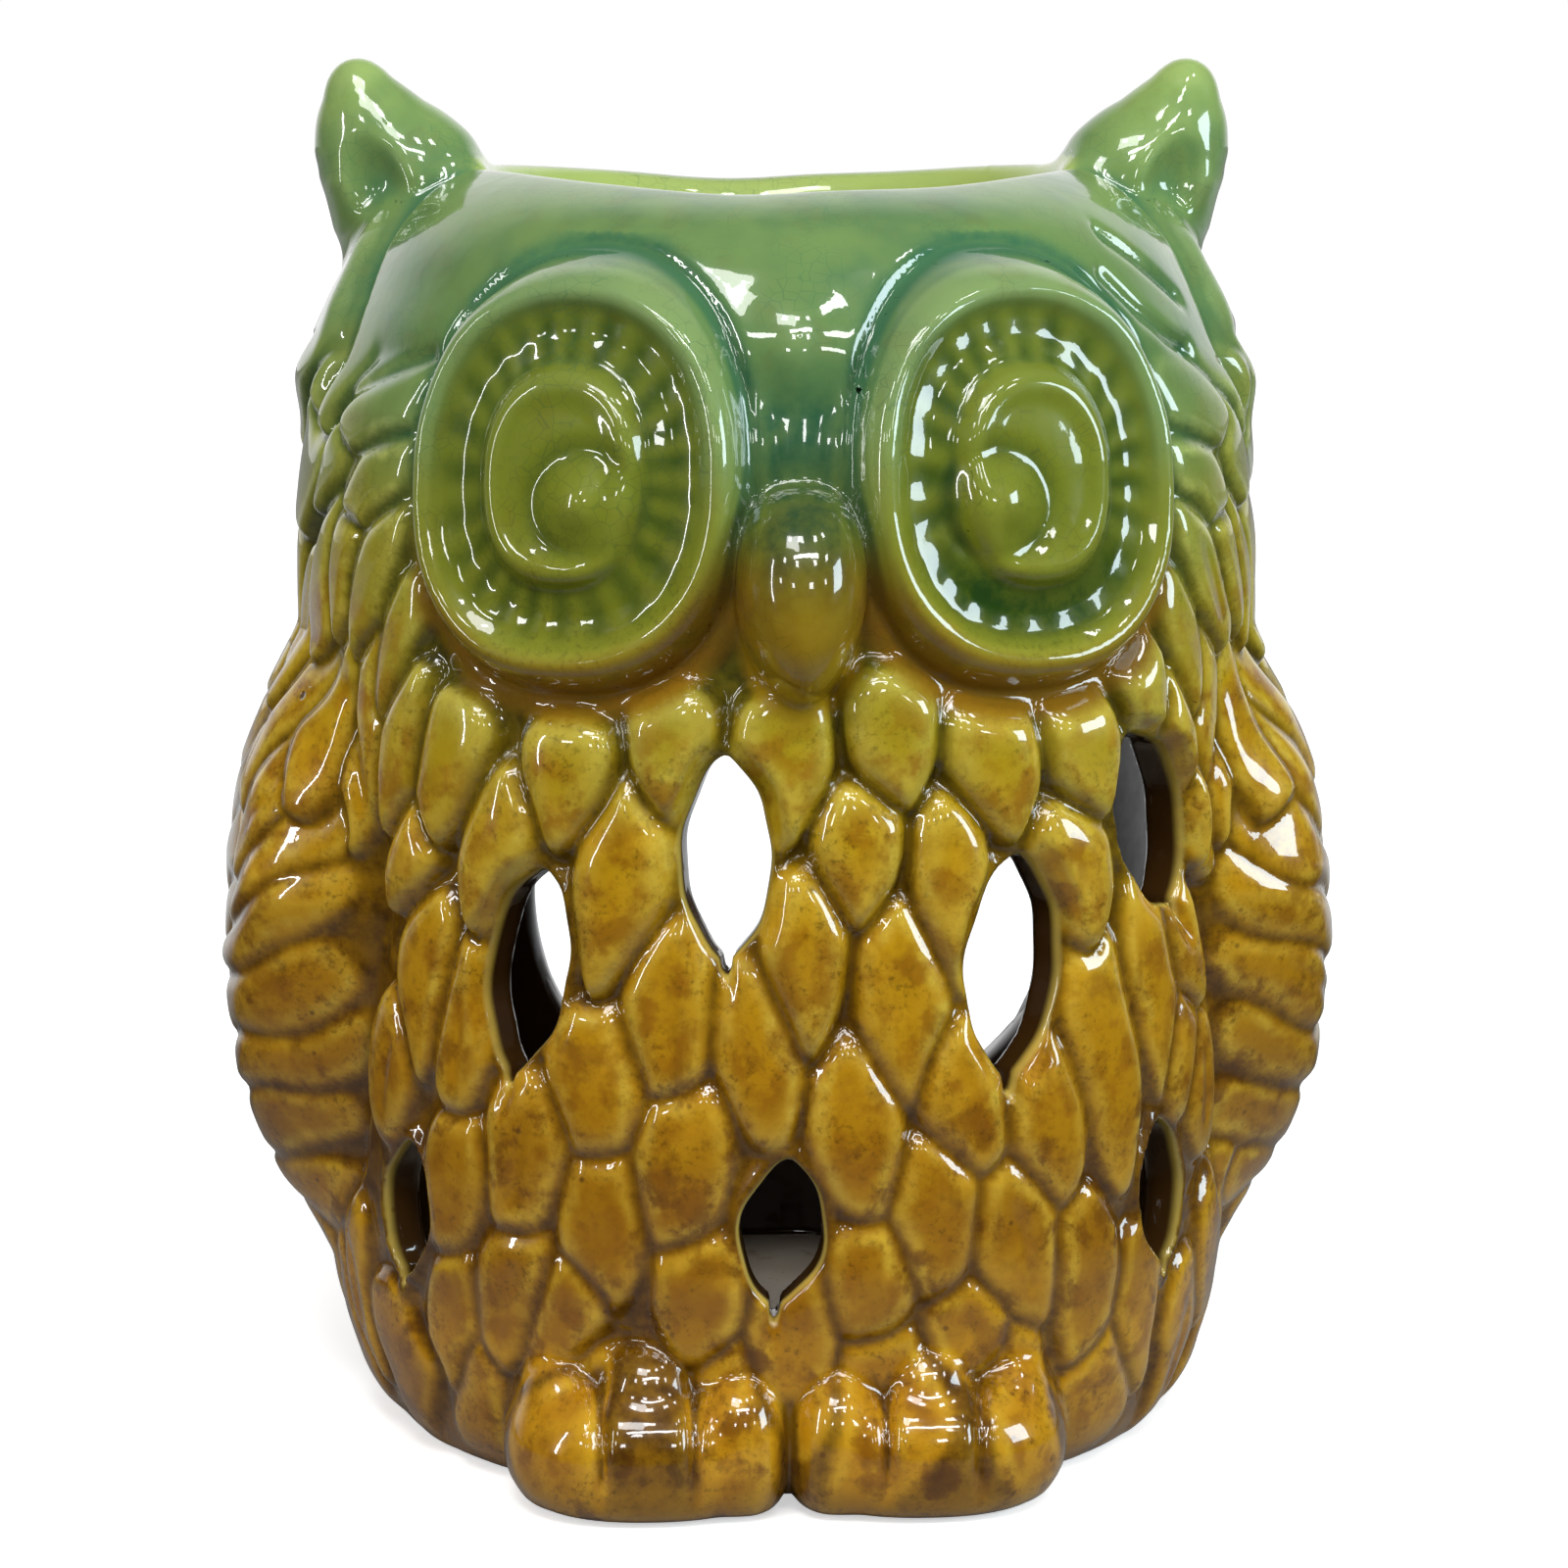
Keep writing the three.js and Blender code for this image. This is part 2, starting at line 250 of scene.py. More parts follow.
def lay_head():
    """Long strands that hang from the sides and back of the head."""
    columns = 44
    for column in range(columns):
        start = turn(360 / columns * (column + 0.5), 0)
        if abs(start) < 46:
            continue
        for k in range(4):
            height = 84 + 15 * k + (7.5 if column % 2 else 0) + rng.uniform(-1.8, 1.8)
            bearing = start + rng.uniform(-1, 1)
            side = math.copysign(1, bearing)
            if eye_gauge(bearing, height, side) < 1.12 or not is_free(bearing, height):
                continue
            fan = np.interp(height, (80, 90, 100, 108), (25, 30, 50, 68))
            sweep = fan * (1 - smooth(58, 120, abs(bearing))) + rng.uniform(-5, 5)
            feathers.append((bearing, height, 3.7, 10.5, side * sweep, CHEEK))


for side in (-1, 1):
    lay_wing(side)
lay_body()
lay_head()


KIND = np.array([feather[5] for feather in feathers])
DOME = np.array([2.6, 1.7, 1.7, 1.5])  # how far each kind of feather swells
SHOULDER = np.array([2.9, 2.1, 2.2, 2.6])  # how far in from its outline it reaches its full height
GROOVE = np.array([0.8, 0.4, 0.4, 0.3])  # how deep the groove round it is
SHINGLE = np.array([0.5, 0.3, 1.0, 1.0])  # how far its tip stands over the next
OUTLINE_AT = np.array([0.97, 1.08, 1.08, 1.12])  # the gauge at its outline


def feather_cells():
    """For each place: its feather, how far out in it, and the distance in from its outline."""
    best = np.full(B.shape, float(FAR))
    second = best.copy()
    owner = np.zeros(B.shape, int)
    calm = smooth(10, 16, Z) * (1 - smooth(56, 68, np.abs(B)))
    loose = 1 - 0.85 * calm
    sway = (1.3 * np.sin(B * 0.21 + Z * 0.13) + 1.3 * np.sin(Z * 0.33 - B * 0.11 + 1.7)) * loose
    heave = 0.9 * np.sin(B * 0.27 + 0.6) * np.sin(Z * 0.19) * loose
    for i, (middle, centre, half_width, half_length, lean, kind) in enumerate(feathers):
        reach = half_length * 2.2
        rows = np.abs(HEIGHTS - centre) < reach
        columns = np.abs(turn(BEARINGS, middle)) < reach / ARC
        patch = np.ix_(rows, columns)
        u, v = local(B[patch] + sway[patch], Z[patch] + heave[patch], middle, centre, lean)
        gauge = leaf_gauge(u, v, half_width, half_length, kind)
        closer = gauge < best[patch]
        second[patch] = np.where(closer, best[patch], np.minimum(second[patch], gauge))
        owner[patch] = np.where(closer, i, owner[patch])
        best[patch] = np.where(closer, gauge, best[patch])
    gap = second - best
    slope = np.hypot(*np.gradient(gap, MAP_STEP, MAP_STEP * ARC))
    edge = gap / np.maximum(slope, 0.12)
    slope = np.hypot(*np.gradient(best, MAP_STEP, MAP_STEP * ARC))
    outline = (OUTLINE_AT[KIND[owner]] - best) / np.maximum(slope, 0.1)
    return owner, best, join(edge, outline, 0.9)


def ramp(value, stops):
    """A soft-cornered curve through (place, level) stops."""
    places, levels = zip(*stops)
    fine = np.linspace(places[0], places[-1], 400)
    line = np.interp(fine, places, levels)
    width = 17
    padded = np.pad(line, width // 2, mode="edge")
    kernel = np.hanning(width + 2)[1:-1]
    return np.interp(value, fine, np.convolve(padded, kernel / kernel.sum(), "valid"))


# The eye from its middle outwards, in shares of its half size: disc, channel, rim and groove.
EYE_STOPS = (
    (0, 2.0), (0.28, 2.2), (0.37, 2.8), (0.42, 2.6), (0.475, 1.2), (0.62, 1.0), (0.74, 1.7),
    (0.83, 3.2), (0.88, 3.5), (0.94, 2.5), (0.985, 0.8), (1.02, -0.7), (1.05, -0.7), (1.09, -0.1),
    (1.14, 0), (1.3, 0),
)
FLUTES = 23
PUPIL_RADIUS = 3.9
PUPIL_IN = {1: 4.2, -1: 2.5}  # how far each pupil sits towards the beak, and below the eye's middle
PUPIL_DOWN = 2.4


def eye_relief(side):
    """One eye: its height, its share of each place, its gauge, the pupil's distance and the flutes."""
    gauge = eye_gauge(B, Z, side)
    u, v = local(B, Z, side * EYE_BEARING, EYE_HEIGHT, 0)
    around = np.arctan2(v / EYE_HALF[1], u / EYE_HALF[0])
    height = ramp(gauge, EYE_STOPS)
    channel = smooth(0.5, 0.62, gauge) * (1 - smooth(0.68, 0.8, gauge))
    uneven = 0.7 + 0.3 * np.sin(2 * around + side)
    flutes = np.cos(FLUTES * around + 1.2 * np.sin(3 * around))
    height += 0.06 * uneven * flutes * channel
    pupil = np.hypot(u + side * PUPIL_IN[side], v + PUPIL_DOWN)
    height += 1.5 * (1 - smooth(0, PUPIL_RADIUS + 0.9, pupil))
    height -= 0.35 * np.exp(-((pupil - 5.2) / 0.9) ** 2)
    return height, 1 - smooth(1.02, 1.12, gauge), gauge, pupil, 0.6 - 0.4 * flutes


def windows_distance():
    """Distance to the nearest pierced outline, less than 0 in the hole."""
    nearest = np.full(B.shape, 30.0)
    ragged = 0.14 * np.sin(B * 0.9 + Z * 0.35) + 0.1 * np.sin(Z * 0.9 - B * 0.4)
    for middle, centre, width, length, lean in WINDOWS:
        u, v = local(B, Z, middle, centre, lean)
        t = np.abs(v) / (length / 2)
        gauge = ((np.abs(u) / (width / 2)) ** 1.35 + t ** 2) ** (1 / 1.35) - 1
        slope = np.hypot(*np.gradient(gauge, MAP_STEP, MAP_STEP * ARC))
        nearest = np.minimum(nearest, np.clip(gauge / np.maximum(slope, 0.08), -6, 30))
        # the knife's nick at the lower tip
        nick = np.hypot(u / 0.5, (v + length / 2) / 1.6) - 1
        nearest = np.minimum(nearest, nick * 0.8)
    return nearest + ragged


def distance_to(line):
    """Distance on the map to a line drawn through (bearing, height) points."""
    nearest = np.full(B.shape, 30.0)
    for (b0, z0), (b1, z1) in zip(line, line[1:]):
        run = ((b1 - b0) * ARC, z1 - z0)
        across, along = turn(B, b0) * ARC, Z - z0
        t = np.clip((across * run[0] + along * run[1]) / (run[0] ** 2 + run[1] ** 2), 0, 1)
        nearest = np.minimum(nearest, np.hypot(across - t * run[0], along - t * run[1]))
    return nearest


def softened(table, reach):
    """The map blurred over that many millimetres, as thick glaze softens the clay."""
    for axis, step in ((0, MAP_STEP), (1, MAP_STEP * ARC)):
        width = int(3 * reach / step)
        kernel = np.exp(-0.5 * (np.arange(-width, width + 1) * step / reach) ** 2)
        kernel /= kernel.sum()
        pad = [(0, 0), (0, 0)]
        pad[axis] = (width, width)
        padded = np.pad(table, pad, mode="wrap" if axis else "edge")
        length = table.shape[axis]
        cut = (slice(None),) * axis
        table = sum(weight * padded[cut + (slice(i, i + length),)] for i, weight in enumerate(kernel))
    return table


# Creases over the brows, drawn through (bearing, height) points.
BROW_CREASES = (
    ((43, 121), (48, 117.5), (53, 115), (58, 113.5)), ((48, 125), (54, 122), (61, 118.5)),
    ((-47, 113.5), (-53, 112), (-60, 110), (-67, 106)),
)


def build_relief():
    owner, gauge, edge = feather_cells()
    kind = KIND[owner]
    columns = (np.array([feather[i] for feather in feathers])[owner] for i in range(5))
    middle, centre, half_width, half_length, lean = columns
    c, s = np.cos(np.radians(lean)), np.sin(np.radians(lean))
    across, along = turn(B, middle) * ARC, Z - centre
    u, v = across * c + along * s, (along * c - across * s) / half_length
    inner = np.clip(1 - np.minimum(gauge, 1.25) ** 2, -0.5, 1)
    dome = DOME[kind] * (1 - 0.4 * (kind == LOWER) * smooth(42, 26, Z))
    swell = np.sqrt(1 - (1 - np.clip(edge / SHOULDER[kind], 0, 1)) ** 2)
    height = dome * (0.35 * inner + 0.65 * swell) + SHINGLE[kind] * np.clip(-v, -1, 1) * 0.5
    height -= GROOVE[kind] * (1 - smooth(-0.4, 0.8, edge))
    split = rng.random(len(feathers)) < 0.22
    crease = np.exp(-(u / 0.6) ** 2) * smooth(-0.7, -0.4, v) * (1 - smooth(0.2, 0.6, v))
    height -= 0.45 * crease * (split & (KIND != BIB))[owner]

    front = wing_front(Z)
    height = np.where(kind == WING, height * (0.45 + 0.55 * smooth(4, 20, np.abs(B) - front)), height)
    rise = np.interp(Z, *WING_RISE)
    mound = smooth(-1, 15, np.abs(B) - front) * (1 - smooth(WING_BACK - 22, WING_BACK + 2, np.abs(B)))
    wing_edge = (np.abs(B) - front) * ARC
    height += rise * mound
    height -= 1.1 * np.exp(-(wing_edge / 1.3) ** 2) * smooth(0, 5, rise)

    crown = smooth(108, 116, Z - 5 * smooth(70, 110, np.abs(B)))
    height *= 1 - crown
    height = softened(height, 0.35)
    height *= smooth(-1, 7, Z)
    plain = (1 - crown) * smooth(-1, 7, Z)
    for line in BROW_CREASES:
        height -= 0.9 * np.exp(-(distance_to(line) / 0.9) ** 2)

    eye_map = np.zeros(B.shape)
    pupils = np.full(B.shape, 99.0)
    pool, brown, tint, moat = (np.zeros(B.shape) for _ in range(4))
    for side in (-1, 1):
        eye, share, ring, pupil, fluted = eye_relief(side)
        low = smooth(2, -12, Z - EYE_HEIGHT)
        channel = smooth(0.44, 0.5, ring) * (1 - smooth(0.66, 0.82, ring))
        pool = np.maximum(pool, channel * fluted * (0.8 - 0.15 * low))
        if side > 0:
            pool = np.maximum(pool, channel * smooth(-2, -11, Z - EYE_HEIGHT))
        round_pupil = np.exp(-((pupil - 5.0) / 1.1) ** 2) * (1 - smooth(0.26, 0.4, ring))
        pool = np.maximum(pool, 0.45 * round_pupil)
        moat = np.maximum(moat, np.exp(-((ring - 1.07) / np.where(ring > 1.07, 0.055, 0.05)) ** 2))
        tint = np.maximum(tint, 1 - smooth(0.72, 0.86, ring))
        tint = np.maximum(tint, (1 - smooth(0.84, 1.0, ring)) * smooth(8, -8, Z - EYE_HEIGHT))
        rim = smooth(0.8, 0.94, ring) * (1 - smooth(1.1, 1.2, ring))
        brown = np.maximum(brown, rim * smooth(-4, -15, Z - EYE_HEIGHT) * 0.9)
        height = height * smooth(1.0, 1.22, ring)
        height = height * (1 - share) + eye * share + (1 - share) * ramp(ring, EYE_STOPS) * (ring < 1.3)
        eye_map = np.maximum(eye_map, (ring < 1.0) * (side + 2))
        pupils = np.minimum(pupils, pupil)
    # The bridge between the eyes.
    bridge = np.exp(-(B / 5.2) ** 2) * smooth(96, 104, Z) * (1 - smooth(117, 126, Z))
    height += 1.3 * bridge
    # A long groove up to the ear parts the face from the side of the head, which stands proud.
    line = np.interp(Z, (106, 112, 118, 124, 129), (73, 70, 72, 77, 84))
    off = (np.abs(B) - line) * ARC
    height -= 1.4 * np.exp(-(off / 1.4) ** 2) * smooth(102, 110, Z)
    height += 2.2 * smooth(0, 5, off) * (1 - smooth(10, 25, off)) * smooth(104, 112, Z)

    # Glaze gathers in the grooves and thins over the shoulders of the feathers; the grooves also carry
    # painted shade, most of all round the bib.
    ragged = 0.35 * np.sin(B * 0.8 + 1.1 * np.sin(Z * 0.35)) * np.sin(Z * 0.55 + 0.4)
    shoulder = smooth(0.5, 1.2, edge - ragged) * (1 - smooth(1.4, 2.8, edge - ragged))
    shoulder *= 0.75 + 0.25 * np.sin(B * 0.31 + Z * 0.17)
    groove = 1 - smooth(0.0, 1.0, edge)
    heart = np.exp(-((gauge - 0.3) / 0.32) ** 2)
    clear = plain * smooth(1.06, 1.16, np.minimum(eye_gauge(B, Z, 1), eye_gauge(B, Z, -1)))
    beak = 1 - smooth(0.85, 1.05, np.hypot(B * ARC / 7, (Z - 91) / 12))
    maps = {
        "bill": beak * smooth(99, 86, Z),
        "flank": smooth(38, 62, np.abs(B)) * (1 - smooth(112, 122, Z)),
        "eye": np.maximum(tint, beak * smooth(86, 96, Z)),
        "pool": pool,
        "brown": brown,
        "heart": heart * clear,
        "shoulder": shoulder * clear,
        "groove": np.maximum(groove * clear, moat),
    }

    windows = windows_distance()
    near = 1 - smooth(0.2, 2.2, windows)
    height = height * (1 - near) + near * (0.35 + 0.3 * np.exp(-((windows - 0.6) / 0.7) ** 2))
    maps = {name: softened(table, 0.2) for name, table in maps.items()}
    return height, windows, eye_map, pupils, maps


RELIEF, WINDOW_MAP, EYE_MAP, PUPIL_MAP, TINT_MAPS = build_relief()


# ---- The field ----
LOW = np.array([-62.5, -58.5, -1.7])
HIGH = np.array([62.5, 51.5, 144.5])
COUNT = np.ceil((HIGH - LOW) / STEP).astype(int)
X, Y, H = (LOW[i] + STEP * np.arange(COUNT[i]) for i in range(3))
X3, Y3, H3 = X[:, None, None], Y[None, :, None], H[None, None, :]


def drawn_in(x):
    """The sides are pressed in a little."""
    return x * (1 + 0.03 * smooth(24, 44, np.abs(x)))


def bearing_of(x, y):
    return np.degrees(np.arctan2(drawn_in(x), -y / DEPTH_RATIO))


def round_metric(x, y):
    """Half-width of the owl's section through a point."""
    x = drawn_in(x)
    return (np.abs(x) ** SQUARENESS + np.abs(y / DEPTH_RATIO) ** SQUARENESS) ** (1 / SQUARENESS)


METRIC = round_metric(X[:, None], Y[None, :])[:, :, None]
BEARING = bearing_of(X[:, None], Y[None, :])


def half_width(height):
    fine = np.arange(OUTLINE[0, 0], OUTLINE[-1, 0], 0.5)
    line = np.interp(fine, *OUTLINE.T)
    soft = np.convolve(np.pad(line, 4, mode="edge"), np.ones(9) / 9, "valid")
    return np.interp(height, fine, soft)


def on_grid(table):
    """A map by bearing and height, read at every point of the grid."""
    rows = np.interp(H, HEIGHTS, np.arange(len(HEIGHTS)))
    low = rows.astype(int).clip(0, len(HEIGHTS) - 2)
    part = (rows - low)[:, None]
    by_height = (table[low] * (1 - part) + table[low + 1] * part).T.astype(np.float32)
    place = (BEARING - BEARINGS[0]) / MAP_STEP
    left = np.floor(place).astype(int)
    share = (place - left)[:, :, None].astype(np.float32)
    columns = len(BEARINGS)
    return by_height[left % columns] * (1 - share) + by_height[(left + 1) % columns] * share


def block(low, high):
    """The part of the grid inside a box in millimetres: its slices and its coordinates."""
    cut = tuple(slice(*np.searchsorted(line, ends)) for line, ends in zip((X, Y, H), zip(low, high)))
    return cut, X[cut[0]][:, None, None], Y[cut[1]][None, :, None], H[cut[2]][None, None, :]


def lump(x, y, z, centre, radii, power=2.0, tilt=0.0):
    """A rounded lump; a positive tilt leans its top towards +X."""
    x, y, z = x - centre[0], y - centre[1], z - centre[2]
    c, s = math.cos(math.radians(tilt)), math.sin(math.radians(tilt))
    x, z = x * c - z * s, z * c + x * s
    shares = (np.abs(x / radii[0]), np.abs(y / radii[1]), np.abs(z / radii[2]))
    gauge = (shares[0] ** power + shares[1] ** power + shares[2] ** power) ** (1 / power)
    reach = np.sqrt(x * x + y * y + z * z)
    return (gauge - 1) * np.maximum(reach / np.maximum(gauge, 0.01), min(radii))


def horn(x, y, z, start, end, start_radius, end_radius, depth=1.0):
    """A tapered rod with round ends; depth is its thickness along Y over that along X."""
    a, b = np.array(start, float), np.array(end, float)
    run = b - a
    t = ((x - a[0]) * run[0] + (y - a[1]) * run[1] + (z - a[2]) * run[2]) / (run @ run)
    t = np.clip(t, 0, 1)
    dx, dy, dz = x - a[0] - t * run[0], (y - a[1] - t * run[1]) / depth, z - a[2] - t * run[2]
    radius = start_radius + (end_radius - start_radius) * t
    return (np.sqrt(dx * dx + dy * dy + dz * dz) - radius) * min(1, depth)


def foot_field(x, y, z, side):
    """Three plump toes run together into one foot, parted by two narrow grooves."""
    if side > 0:
        x = x + FOOT_SHIFT
    foot = lump(x, y, z, (side * 14.6, -39.2, 6.2), (14.6, 12.2, 8.4), 2.3)
    for across, half_width, top in ((5.8, 5.6, 16.2), (14.8, 6.3, 18.6), (23.4, 5.0, 16.2)):
        middle = (side * across, -40.2 + 0.1 * across, top - 9)
        toe = lump(x, y, z, middle, (half_width, 11.6 - 0.12 * across, 9), 2.3)
        foot = join(foot, toe, 1.0)
    for across in (10.4, 19.6):
        groove = np.exp(-((np.abs(x) - across) / 0.6) ** 2) * smooth(1.5, 7, z)
        foot = foot + 1.2 * groove
    return foot


def ear_field(x, y, z, side):
    """A pointed flap, widest below its tip, that runs down into the side of the head."""
    spine = ((43.4, 139, 3.1), (42, 134.4, 5.6), (38.7, 129, 8.3), (39.3, 121, 5.2), (45.2, 112, 2.5))
    flap = None
    for (x0, z0, r0), (x1, z1, r1) in zip(spine, spine[1:]):
        stretch = horn(x, y, z, (side * x0, 3.2, z0), (side * x1, 3.8, z1), r0, r1, 0.8)
        flap = stretch if flap is None else join(flap, stretch, 2.0)
    hollow = lump(x, y, z, (side * 42.2, -5.8, 129.8), (4.0, 4.9, 6.8), 2, side * 20)
    return carve(flap, hollow, 1.2)


def beak_field(x, y, z):
    y, z = y + 46.2, z - 91.6
    t = np.clip(z / 10.8, -1.6, 1.6)
    width = 6.3 * (1 + 0.14 * t)
    reach = 10.3 * (1 - 0.1 * t)
    power = 1.75 + 0.65 * smooth(-0.8, 0.3, t)
    gauge = (np.abs(x / width) ** power + np.abs(y / reach) ** power + np.abs(t) ** 2.1) ** (1 / power)
    return (gauge - 1) * np.maximum(np.sqrt(x * x + y * y + z * z) / np.maximum(gauge, 0.01), 4)


def press_on(skin, shape, low, high, blend, *details):
    """Joins a shape to the skin inside a box, and gives back the shape's own field."""
    cut, x, y, z = block(low, high)
    part = shape(x, y, z, *details).astype(np.float32)
    skin[cut] = join(skin[cut], part, blend)
    whole = np.full(skin.shape, FAR, np.float32)
    whole[cut] = part
    return whole


def mirrored(low, high, side):
    """A box given for the owl's left, on either side."""
    return (low, high) if side > 0 else ((-high[0], *low[1:]), (-low[0], *high[1:]))


def build_field():
    radius = half_width(H)
    slope = np.sqrt(1 + np.gradient(radius, H) ** 2)
    plain = ((METRIC - radius) / slope).astype(np.float32)
    skin = plain - on_grid(RELIEF)
    across = np.abs(X[:, None]) / np.maximum(np.hypot(X[:, None], Y[None, :]), 1)
    ripple = 0.25 * np.sin(np.radians(BEARING) * 5 + 0.6) + 0.15 * np.sin(np.radians(BEARING) * 9)
    rim = (RIM + 1.25 * RIM_SADDLE * across ** 2 + ripple * (1 - across))[:, :, None]
    skin = carve(skin, rim - H3, 5.0)

    beak = press_on(skin, beak_field, (-10, -62, 76), (10, -30, 108), 0.8)
    ears, feet = {}, {}
    for side in (1, -1):
        ears[side] = press_on(skin, ear_field, *mirrored((18, -20, 104), (60, 20, 144), side), 2.0, side)
        feet[side] = press_on(skin, foot_field, *mirrored((-4, -60, -2), (36, -20, 26), side), 0.9, side)
    skin = carve(skin, H3, 1.6).astype(np.float32)

    z = np.minimum(H3 - DISH_TOP, 0)
    dish = lump(X3, Y3, z, (0, 0, 0), DISH)
    under = lump(X3, Y3, z, (0, 0, 0), [half_axis + DISH_WALL for half_axis in DISH])
    hollow = np.maximum((METRIC - radius + WALL) / slope, FLOOR - H3)
    hollow = meet(hollow, -under, 2.0)
    hollow = meet(hollow, H3 - CEILING, 3.0)
    windows = on_grid(WINDOW_MAP)
    windows[np.abs(BEARING) > 75] = 30
    back = np.where(Y3 > 0, np.hypot(X3 - BACK_MIDDLE, H3 - BACK_HEIGHT) - BACK_RADIUS, 30)
    solid = carve(skin, dish, 3.0)
    solid = carve(solid, hollow, 1.0)
    solid = carve(solid, windows, 1.3)
    solid = carve(solid, back, 2.0)
    fields = (solid, skin, plain, windows, back, under, beak)
    return tuple(part.astype(np.float32) for part in fields), ears, feet


NODES = (
    "base_plate", "body_shell", "head_shell", "oil_bowl", "beak", "left_eye", "right_eye", "left_pupil",
    "right_pupil", "left_ear", "right_ear", "left_wing", "right_wing", "left_foot", "right_foot",
)
NUMBER = {node: number for number, node in enumerate(NODES, 1)}
LAP = 0.6  # how far a pressed-on section reaches past its own shape


def build_territory():
    """Which section each point of the clay belongs to, by its number."""
    section = np.full(FIELD.shape, NUMBER["body_shell"], np.uint8)
    section[:, :, H > NECK] = NUMBER["head_shell"]
    raised = PLAIN > -1.0
    bearing = BEARING[:, :, None]
    wing = (np.abs(bearing) > wing_front(H)) & (np.abs(bearing) < WING_BACK)
    wing = wing & (H3 > 20) & (H3 < NECK) & raised
    section[wing & (bearing > 0)] = NUMBER["left_wing"]
    section[wing & (bearing < 0)] = NUMBER["right_wing"]
    eyes = np.round(on_grid(EYE_MAP))
    pupils = (on_grid(PUPIL_MAP) < PUPIL_RADIUS) & (PLAIN > 1.2)
    for side, name in ((1, "left"), (-1, "right")):
        section[(eyes == side + 2) & raised] = NUMBER[name + "_eye"]
        section[(eyes == side + 2) & pupils] = NUMBER[name + "_pupil"]
        section[(EARS[side] < LAP) & raised] = NUMBER[name + "_ear"]
        section[(FEET[side] < LAP) & raised] = NUMBER[name + "_foot"]
    feet = section >= NUMBER["left_foot"]
    section[(BEAK < LAP) & raised] = NUMBER["beak"]
    section[(METRIC < DISH[0] + 1.7) & (H3 > RIM - 26) & (UNDER < 1.5)] = NUMBER["oil_bowl"]
    section[(H3 < FLOOR + 0.15) & (PLAIN < -1.2) & ~feet] = NUMBER["base_plate"]
    return section


(FIELD, SKIN, PLAIN, WINDOWS3, BACK3, UNDER, BEAK), EARS, FEET = build_field()
TERRITORY = build_territory()
SLOTS = {row["node"]: row["material_slot"] for row in frame["record"]["subparts"]}


# ---- Reading the field between grid points ----
def sample(table, points):
    place = (points - LOW) / STEP
    corner = np.clip(np.floor(place).astype(int), 0, COUNT - 2)
    part = (place - corner).astype(np.float32)
    value = np.zeros(len(points), np.float32)
    for dx in (0, 1):
        for dy in (0, 1):
            for dz in (0, 1):
                weight = np.abs(1 - dx - part[:, 0]) * np.abs(1 - dy - part[:, 1])
                weight = weight * np.abs(1 - dz - part[:, 2])
                value += weight * table[corner[:, 0] + dx, corner[:, 1] + dy, corner[:, 2] + dz]
    return value


def read_map(table, points):
    """A map by bearing and height, at the points on the outer skin."""
    bearing = bearing_of(points[:, 0], points[:, 1])
    column = np.round((bearing - BEARINGS[0]) / MAP_STEP).astype(int) % len(BEARINGS)
    row = np.round((points[:, 2] - HEIGHTS[0]) / MAP_STEP).astype(int).clip(0, len(HEIGHTS) - 1)
    return np.where(round_metric(points[:, 0], points[:, 1]) > 40, table[row, column], 0)


def slope_of(table, points, reach):
    slope = np.empty((len(points), 3), np.float32)
    for axis in range(3):
        offset = np.zeros(3)
        offset[axis] = reach
        slope[:, axis] = sample(table, points + offset) - sample(table, points - offset)
    return slope / (2 * reach)


def blurred(table, reach):
    """Two box blurs along each axis."""
    width = max(1, int(round(reach / STEP)))
    window = 2 * width + 1
    for axis in range(3):
        for _ in range(2):
            pad = [(0, 0)] * 3
            pad[axis] = (width + 1, width)
            total = np.cumsum(np.pad(table, pad, mode="edge"), axis=axis, dtype=np.float32)
            ends = [slice(None)] * 3
            starts = [slice(None)] * 3
            ends[axis] = slice(window, None)
            starts[axis] = slice(0, -window)
            table = (total[tuple(ends)] - total[tuple(starts)]) / window
    return table


# ---- Surface nets: one shared set of points, and the faces of each section ----
def surface_nets():
    label = np.where(FIELD < 0, TERRITORY, 0).astype(np.uint8)
    cell_shape = COUNT + 1  # one more cell each way than points, so that every edge has its four cells
    stride = np.array([cell_shape[1] * cell_shape[2], cell_shape[2], 1])
    found = []
    for axis in range(3):
        low = [slice(None)] * 3
        high = [slice(None)] * 3
        low[axis] = slice(None, -1)
        high[axis] = slice(1, None)
        a, b = label[tuple(low)], label[tuple(high)]
        place = np.argwhere(a != b)
        la, lb = a[tuple(place.T)], b[tuple(place.T)]
        fa = FIELD[tuple(low)][tuple(place.T)]
        fb = FIELD[tuple(high)][tuple(place.T)]
        outer = (la == 0) | (lb == 0)
        share = np.where(outer, fa / np.where(outer, fa - fb, 1), 0.5)
        point = place.astype(np.float32)
        point[:, axis] += share
        u, v = (axis + 1) % 3, (axis + 2) % 3
        base = (place + 1) @ stride
        quad = np.stack([base - stride[u] - stride[v], base - stride[v], base, base - stride[u]], 1)
        found.append((quad, point, la, lb, outer))
    faces, crossings, first, second, outer = (np.concatenate(rows) for rows in zip(*found))
    cells, faces = np.unique(faces, return_inverse=True)
    faces = faces.reshape(-1, 4)
    total = np.zeros((2, len(cells), 3))
    count = np.zeros((2, len(cells)))
    for which, rows in enumerate((outer, ~outer)):
        for corner in range(4):
            index = faces[rows, corner]
            count[which] += np.bincount(index, minlength=len(cells))
            for axis in range(3):
                total[which, :, axis] += np.bincount(index, crossings[rows, axis], minlength=len(cells))
    on_skin = count[0] > 0
    which = np.where(on_skin, 0, 1)
    row = np.arange(len(cells))
    points = total[which, row] / count[which, row][:, None]
    return points * STEP + LOW, on_skin, faces, first, second, outer


